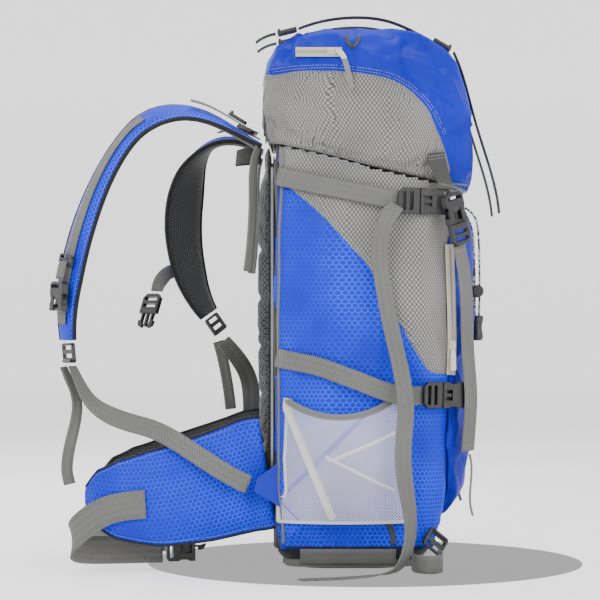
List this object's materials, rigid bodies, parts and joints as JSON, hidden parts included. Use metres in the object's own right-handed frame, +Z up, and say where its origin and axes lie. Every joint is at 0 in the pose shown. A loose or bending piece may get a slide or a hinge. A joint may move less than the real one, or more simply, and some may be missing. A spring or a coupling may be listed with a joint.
{
  "type": "trekking backpack",
  "caption": "Internal-frame trekking backpack with padded shoulder straps, hip belt, buckled top lid, side compression straps, net side pockets and a front pocket",
  "frame": {"origin": "on the base panel's flat resting face, under the middle of the pack", "axes": "+Z up; +X away from the wearer, towards the front pocket; -Y is the wearer's left, +Y the wearer's right"},
  "size_m": [0.6092, 0.4716, 0.7469],
  "materials": {
    "pack_fabric": "ripstop with a printed hexagon pattern",
    "lid_fabric": "plain weave, wrinkled",
    "base_fabric": "coarse weave",
    "lining_fabric": "thin plain weave",
    "net": "open net",
    "air_mesh": "spacer mesh over foam",
    "strap_padding": "printed fabric outside, spacer mesh inside",
    "webbing": "diamond weave webbing",
    "buckle_plastic": "moulded acetal, satin",
    "zip_tape": "coated zip tape",
    "zip_metal": "lacquered",
    "elastic_cord": "braided, flecked",
    "frame_plastic": "sheet",
    "stay_alloy": "mill finish"
  },
  "bodies": {
    "pack": {"main_bag": "pack_fabric", "base_panel": "base_fabric", "extension_collar": "lining_fabric", "front_pocket": "pack_fabric", "mesh_pockets": "net", "frame_sheet": "frame_plastic", "frame_stays": "stay_alloy", "back_pads": "air_mesh", "lid_anchor_straps": "webbing", "compression_webbing": "webbing", "compression_sockets": "buckle_plastic", "webbing_ends": "webbing", "front_zip_tape": "zip_tape", "keeper_cord_left": "elastic_cord", "keeper_cord_right": "elastic_cord", "keeper_ends": "buckle_plastic", "lower_webbing_left": "webbing", "lower_webbing_right": "webbing", "anchor_tabs": "pack_fabric", "base_straps": "webbing", "base_locks": "buckle_plastic", "tool_loops": "webbing"},
    "lid": {"lid_shell": "lid_fabric", "lid_sockets": "buckle_plastic", "lid_straps": "webbing", "lid_ladder_locks": "buckle_plastic", "lid_zip_tape": "zip_tape"},
    "lid_plug_left": {"lid_plug_left": "buckle_plastic"},
    "lid_plug_right": {"lid_plug_right": "buckle_plastic"},
    "upper_plug_left": {"upper_plug_left": "buckle_plastic"},
    "upper_plug_right": {"upper_plug_right": "buckle_plastic"},
    "lower_plug_left": {"lower_plug_left": "buckle_plastic"},
    "lower_plug_right": {"lower_plug_right": "buckle_plastic"},
    "lid_zip_slider": {"lid_zip_slider": "zip_metal"},
    "lid_zip_pull": {"lid_zip_pull": "zip_metal"},
    "front_zip_slider": {"front_zip_slider": "zip_metal"},
    "front_zip_pull": {"front_zip_pull": "zip_metal"},
    "keeper_lock_left": {"keeper_lock_left": "buckle_plastic"},
    "keeper_lock_right": {"keeper_lock_right": "buckle_plastic"},
    "keeper_button_left": {"keeper_button_left": "buckle_plastic"},
    "keeper_button_right": {"keeper_button_right": "buckle_plastic"},
    "shoulder_left": {"shoulder_pad_left": "strap_padding", "shoulder_webbing_left": "webbing", "shoulder_locks_left": "buckle_plastic"},
    "shoulder_right": {"shoulder_pad_right": "strap_padding", "shoulder_webbing_right": "webbing", "shoulder_locks_right": "buckle_plastic"},
    "chest_left": {"chest_slider_left": "buckle_plastic", "chest_webbing_left": "webbing", "chest_socket": "buckle_plastic"},
    "chest_right": {"chest_slider_right": "buckle_plastic", "chest_webbing_right": "webbing", "chest_plug": "buckle_plastic"},
    "belt_left": {"hip_wing_left": "strap_padding", "waist_webbing_left": "webbing", "waist_socket": "buckle_plastic"},
    "belt_right": {"hip_wing_right": "strap_padding", "waist_webbing_right": "webbing", "waist_plug": "buckle_plastic"},
    "haul_loop": {"haul_loop": "webbing"}
  },
  "joints": [
    {"name": "lid_hinge", "type": "hinge", "parent": "pack", "child": "lid", "pos_m": [-0.138, 0, 0.65], "axis": [0, -1, 0], "range_deg": [0, 90]},
    {"name": "lid_buckle_left", "type": "slide", "parent": "lid", "child": "lid_plug_left", "axis": [0.2196, 0.1198, -0.9682], "range_m": [0, 0.03]},
    {"name": "upper_buckle_left", "type": "slide", "parent": "pack", "child": "upper_plug_left", "axis": [-0.9897, -0.14, 0.03], "range_m": [0, 0.028]},
    {"name": "lower_buckle_left", "type": "slide", "parent": "pack", "child": "lower_plug_left", "axis": [-0.8478, -0.5299, 0.02], "range_m": [0, 0.026]},
    {"name": "keeper_lock_slide_left", "type": "slide", "parent": "pack", "child": "keeper_lock_left", "axis": [0, 0, 1], "range_m": [0, 0.045]},
    {"name": "keeper_button_press_left", "type": "slide", "parent": "keeper_lock_left", "child": "keeper_button_left", "axis": [0, 1, 0], "range_m": [0, 0.0045], "stiffness_N_per_m": 800},
    {"name": "lid_buckle_right", "type": "slide", "parent": "lid", "child": "lid_plug_right", "axis": [0.2196, -0.1198, -0.9682], "range_m": [0, 0.03]},
    {"name": "upper_buckle_right", "type": "slide", "parent": "pack", "child": "upper_plug_right", "axis": [-0.9897, 0.14, 0.03], "range_m": [0, 0.028]},
    {"name": "lower_buckle_right", "type": "slide", "parent": "pack", "child": "lower_plug_right", "axis": [-0.8478, 0.5299, 0.02], "range_m": [0, 0.026]},
    {"name": "keeper_lock_slide_right", "type": "slide", "parent": "pack", "child": "keeper_lock_right", "axis": [0, 0, 1], "range_m": [0, 0.045]},
    {"name": "keeper_button_press_right", "type": "slide", "parent": "keeper_lock_right", "child": "keeper_button_right", "axis": [0, -1, 0], "range_m": [0, 0.0045], "stiffness_N_per_m": 800},
    {"name": "lid_zip", "type": "slide", "parent": "lid", "child": "lid_zip_slider", "axis": [-1, 0, 0], "range_m": [0, 0.04]},
    {"name": "front_zip", "type": "slide", "parent": "pack", "child": "front_zip_slider", "axis": [0, 0, 1], "range_m": [0, 0.05]},
    {"name": "lid_zip_pull_flip", "type": "hinge", "parent": "lid_zip_slider", "child": "lid_zip_pull", "pos_m": [-0.048, -0.13567, 0.69412], "axis": [0, -0.3443, -0.9389], "range_deg": [0, 60]},
    {"name": "front_zip_pull_flip", "type": "hinge", "parent": "front_zip_slider", "child": "front_zip_pull", "pos_m": [0.11367, -0.13486, 0.302], "axis": [-0.9372, -0.3489, 0], "range_deg": [0, 70]},
    {"name": "shoulder_swing_left", "type": "hinge", "parent": "pack", "child": "shoulder_left", "pos_m": [-0.145, -0.062, 0.57], "axis": [0, 1, 0], "range_deg": [-12, 6], "deforming": ["lower_webbing_left"]},
    {"name": "shoulder_swing_right", "type": "hinge", "parent": "pack", "child": "shoulder_right", "pos_m": [-0.145, 0.062, 0.57], "axis": [0, 1, 0], "range_deg": [-4, 8], "deforming": ["lower_webbing_right"]},
    {"name": "chest_slide_left", "type": "slide", "parent": "shoulder_left", "child": "chest_left", "axis": [0.2226, -0.0873, 0.971], "range_m": [-0.012, 0.015]},
    {"name": "chest_slide_right", "type": "slide", "parent": "shoulder_right", "child": "chest_right", "axis": [-0.2317, -0.0442, 0.9718], "range_m": [-0.012, 0.015]},
    {"name": "belt_swing_left", "type": "hinge", "parent": "pack", "child": "belt_left", "pos_m": [-0.134, -0.116, 0.13], "axis": [0, 0, -1], "range_deg": [-5, 20]},
    {"name": "belt_swing_right", "type": "hinge", "parent": "pack", "child": "belt_right", "pos_m": [-0.134, 0.116, 0.13], "axis": [0, 0, 1], "range_deg": [-5, 20]},
    {"name": "haul_loop_swing", "type": "hinge", "parent": "pack", "child": "haul_loop", "pos_m": [-0.144, 0, 0.562], "axis": [0, 1, 0], "range_deg": [-28, 40]}
  ]
}
